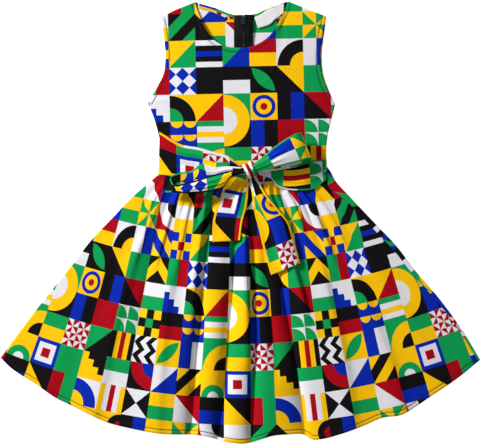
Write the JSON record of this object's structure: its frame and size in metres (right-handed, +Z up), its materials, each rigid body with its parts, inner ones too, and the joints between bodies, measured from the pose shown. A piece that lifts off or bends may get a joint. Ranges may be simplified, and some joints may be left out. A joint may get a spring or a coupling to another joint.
{
  "type": "wax print dress",
  "caption": "Child's sleeveless fit-and-flare cotton dress in a geometric wax print, laid flat, with a back zip and a waist sash tied in a bow.",
  "frame": {"origin": "centre of the bounding box at its underside, on the surface that the dress lies on", "axes": "+X to the viewer's right across the hem, +Y from the hem to the neck, +Z up from the surface, out of the dress's front"},
  "size_m": [0.695, 0.6412, 0.0316],
  "materials": {
    "cotton_green": "matte printed cotton",
    "cotton_yellow": "matte printed cotton",
    "cotton_red": "matte printed cotton",
    "cotton_blue": "matte printed cotton",
    "cotton_white": "matte printed cotton",
    "zip_tape": "woven black tape",
    "zip_metal": "black enamel",
    "label": "white satin weave"
  },
  "bodies": {
    "dress": {"bodice_front": "cotton_yellow", "bodice_back_left": "cotton_green", "bodice_back_right": "cotton_yellow", "skirt_front": "cotton_green", "skirt_back_left": "cotton_blue", "skirt_back_right": "cotton_red", "neck_facing_left": "cotton_yellow", "neck_facing_right": "cotton_yellow", "zip_tape_left": "zip_tape", "zip_tape_right": "zip_tape", "zip_slider": "zip_metal", "neck_label": "label", "sash_left": "cotton_blue", "sash_right": "cotton_white", "bow_loop_left": "cotton_yellow", "bow_loop_right": "cotton_green", "bow_knot": "cotton_green", "bow_tail_left": "cotton_red", "bow_tail_right": "cotton_blue"},
    "pull": {"zip_pull": "zip_metal"}
  },
  "joints": [
    {"name": "zip_pull_swing", "type": "hinge", "parent": "dress", "child": "pull", "pos_m": [0.0044, 0.292, 0.00165], "axis": [1, 0, 0], "range_deg": [0, 180]}
  ]
}
